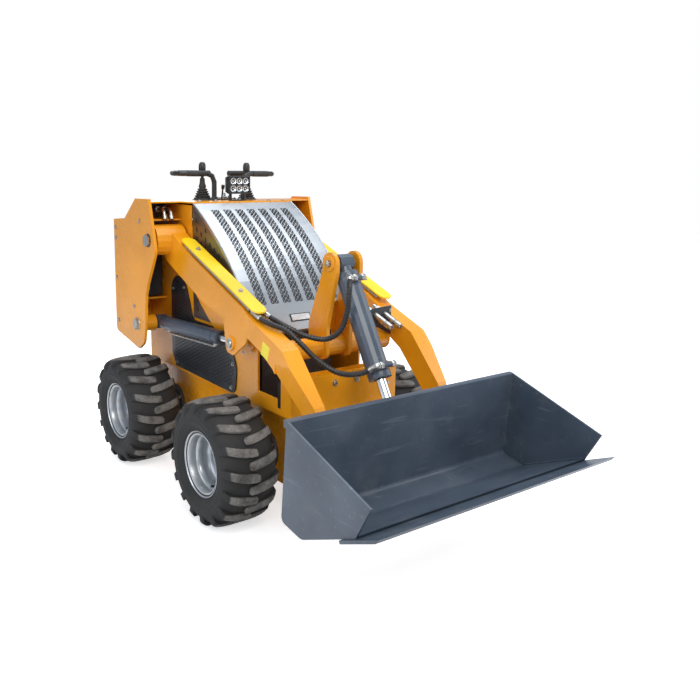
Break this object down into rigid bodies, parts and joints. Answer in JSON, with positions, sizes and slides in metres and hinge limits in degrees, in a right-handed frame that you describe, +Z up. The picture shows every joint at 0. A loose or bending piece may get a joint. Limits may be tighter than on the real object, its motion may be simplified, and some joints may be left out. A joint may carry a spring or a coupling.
{
  "type": "skid steer loader",
  "caption": "Compact stand-behind skid steer loader with twin bent lift arms, front bucket, four lugged tyres, perforated steel hood and operator controls at the rear.",
  "frame": {"origin": "On the ground at the centre of the machine's bounding box, between the wheels.", "axes": "Z points up, the bucket points along -Y and the operator stands at +Y; X is across the machine."},
  "size_m": [1.014, 1.9372, 1.2823],
  "materials": {
    "frame_paint": "gloss orange powder paint",
    "arm_paint": "gloss orange powder paint",
    "guard_paint": "gloss yellow powder paint",
    "cylinder_paint": "satin slate blue-grey paint",
    "bucket_paint": "satin slate blue-grey paint, dusty",
    "edge_steel": "satin slate paint, worn at the front",
    "rim_paint": "silver paint",
    "engine_iron": "dark casting",
    "axle_iron": "black painted casting",
    "hood_steel": "brushed stainless sheet",
    "bare_steel": "bright zinc plate",
    "coupler_steel": "zinc plate",
    "rod_chrome": "hard chrome",
    "black_sheet": "satin black paint",
    "black_plastic": "fine grained black plastic",
    "hose_rubber": "black rubber hose",
    "roller_rubber": "black rubber",
    "tyre_rubber": "black tyre rubber"
  },
  "bodies": {
    "chassis": {"main_frame": "frame_paint", "front_plate": "frame_paint", "console_deck": "frame_paint", "rear_panel": "frame_paint", "engine": "engine_iron", "hood": "hood_steel", "work_light": "black_plastic", "right_tower": "frame_paint", "right_side_grille": "black_sheet", "right_front_hook": "black_sheet", "right_joystick": "black_plastic", "right_hand_loop": "black_plastic", "right_rear_roller": "roller_rubber", "right_pivot_pin": "bare_steel", "right_cylinder_pin": "bare_steel", "front_right_axle": "axle_iron", "rear_right_axle": "axle_iron", "left_tower": "frame_paint", "left_side_grille": "black_sheet", "left_front_hook": "black_sheet", "left_joystick": "black_plastic", "left_hand_loop": "black_plastic", "left_rear_roller": "roller_rubber", "left_pivot_pin": "bare_steel", "left_cylinder_pin": "bare_steel", "front_left_axle": "axle_iron", "rear_left_axle": "axle_iron"},
    "arms": {"cross_tube": "arm_paint", "tilt_bracket": "arm_paint", "tilt_pin": "bare_steel", "coupler_bracket": "black_sheet", "inner_coupler": "coupler_steel", "outer_coupler": "coupler_steel", "upper_tilt_hose": "hose_rubber", "lower_tilt_hose": "hose_rubber", "right_arm": "arm_paint", "right_hose_guard": "guard_paint", "left_arm": "arm_paint", "left_hose_guard": "guard_paint"},
    "bucket": {"bucket": "bucket_paint", "cutting_edge": "edge_steel", "bucket_mount": "bucket_paint"},
    "tilt_barrel": {"tilt_cylinder_barrel": "cylinder_paint"},
    "tilt_rod": {"tilt_cylinder_rod": "rod_chrome"},
    "front_right_wheel": {"front_right_tyre": "tyre_rubber", "front_right_rim": "rim_paint"},
    "front_left_wheel": {"front_left_tyre": "tyre_rubber", "front_left_rim": "rim_paint"},
    "rear_right_wheel": {"rear_right_tyre": "tyre_rubber", "rear_right_rim": "rim_paint"},
    "rear_left_wheel": {"rear_left_tyre": "tyre_rubber", "rear_left_rim": "rim_paint"},
    "right_lift_barrel": {"right_lift_cylinder_barrel": "cylinder_paint"},
    "right_lift_rod": {"right_lift_cylinder_rod": "rod_chrome"},
    "left_lift_barrel": {"left_lift_cylinder_barrel": "cylinder_paint"},
    "left_lift_rod": {"left_lift_cylinder_rod": "rod_chrome"}
  },
  "joints": [
    {"name": "front_right_wheel_spin", "type": "hinge", "parent": "chassis", "child": "front_right_wheel", "pos_m": [-0.397, 0, 0.2286], "axis": [1, 0, 0], "continuous": true},
    {"name": "front_left_wheel_spin", "type": "hinge", "parent": "chassis", "child": "front_left_wheel", "pos_m": [0.397, 0, 0.2286], "axis": [1, 0, 0], "continuous": true},
    {"name": "rear_right_wheel_spin", "type": "hinge", "parent": "chassis", "child": "rear_right_wheel", "pos_m": [-0.397, 0.74, 0.2286], "axis": [1, 0, 0], "continuous": true},
    {"name": "rear_left_wheel_spin", "type": "hinge", "parent": "chassis", "child": "rear_left_wheel", "pos_m": [0.397, 0.74, 0.2286], "axis": [1, 0, 0], "continuous": true},
    {"name": "lift", "type": "hinge", "parent": "chassis", "child": "arms", "pos_m": [0, 0.587, 0.967], "axis": [-1, 0, 0], "range_deg": [-9.5, 65]},
    {"name": "tilt", "type": "hinge", "parent": "arms", "child": "bucket", "pos_m": [0, -0.43, 0.3], "axis": [1, 0, 0], "range_deg": [-10, 80]},
    {"name": "right_lift_cylinder_swing", "type": "hinge", "parent": "chassis", "child": "right_lift_barrel", "pos_m": [-0.293, 0.712, 0.604], "axis": [-1, 0, 0], "range_deg": [-6.7, 45.6]},
    {"name": "right_lift_rod_slide", "type": "slide", "parent": "right_lift_barrel", "child": "right_lift_rod", "axis": [0, -0.9991, 0.0432], "range_m": [-0.0465, 0.3173]},
    {"name": "left_lift_cylinder_swing", "type": "hinge", "parent": "chassis", "child": "left_lift_barrel", "pos_m": [0.293, 0.712, 0.604], "axis": [-1, 0, 0], "range_deg": [-6.7, 45.6]},
    {"name": "left_lift_rod_slide", "type": "slide", "parent": "left_lift_barrel", "child": "left_lift_rod", "axis": [0, -0.9991, 0.0432], "range_m": [-0.0465, 0.3173]},
    {"name": "tilt_cylinder_swing", "type": "hinge", "parent": "arms", "child": "tilt_barrel", "pos_m": [0, -0.171, 0.931], "axis": [1, 0, 0], "range_deg": [-4.81, 0.61], "deforming": ["upper_tilt_hose", "lower_tilt_hose"]},
    {"name": "tilt_rod_slide", "type": "slide", "parent": "tilt_barrel", "child": "tilt_rod", "axis": [0, -0.5006, -0.8657], "range_m": [-0.02296, 0.18365]}
  ],
  "couplings": [
    {"joint": "right_lift_cylinder_swing", "follows": "lift", "ratio": 0.7},
    {"joint": "right_lift_rod_slide", "follows": "lift", "m_per_rad": 0.2796},
    {"joint": "left_lift_cylinder_swing", "follows": "lift", "ratio": 0.7},
    {"joint": "left_lift_rod_slide", "follows": "lift", "m_per_rad": 0.2796},
    {"joint": "tilt_cylinder_swing", "follows": "tilt", "ratio": -0.06},
    {"joint": "tilt_rod_slide", "follows": "tilt", "m_per_rad": 0.1315}
  ]
}
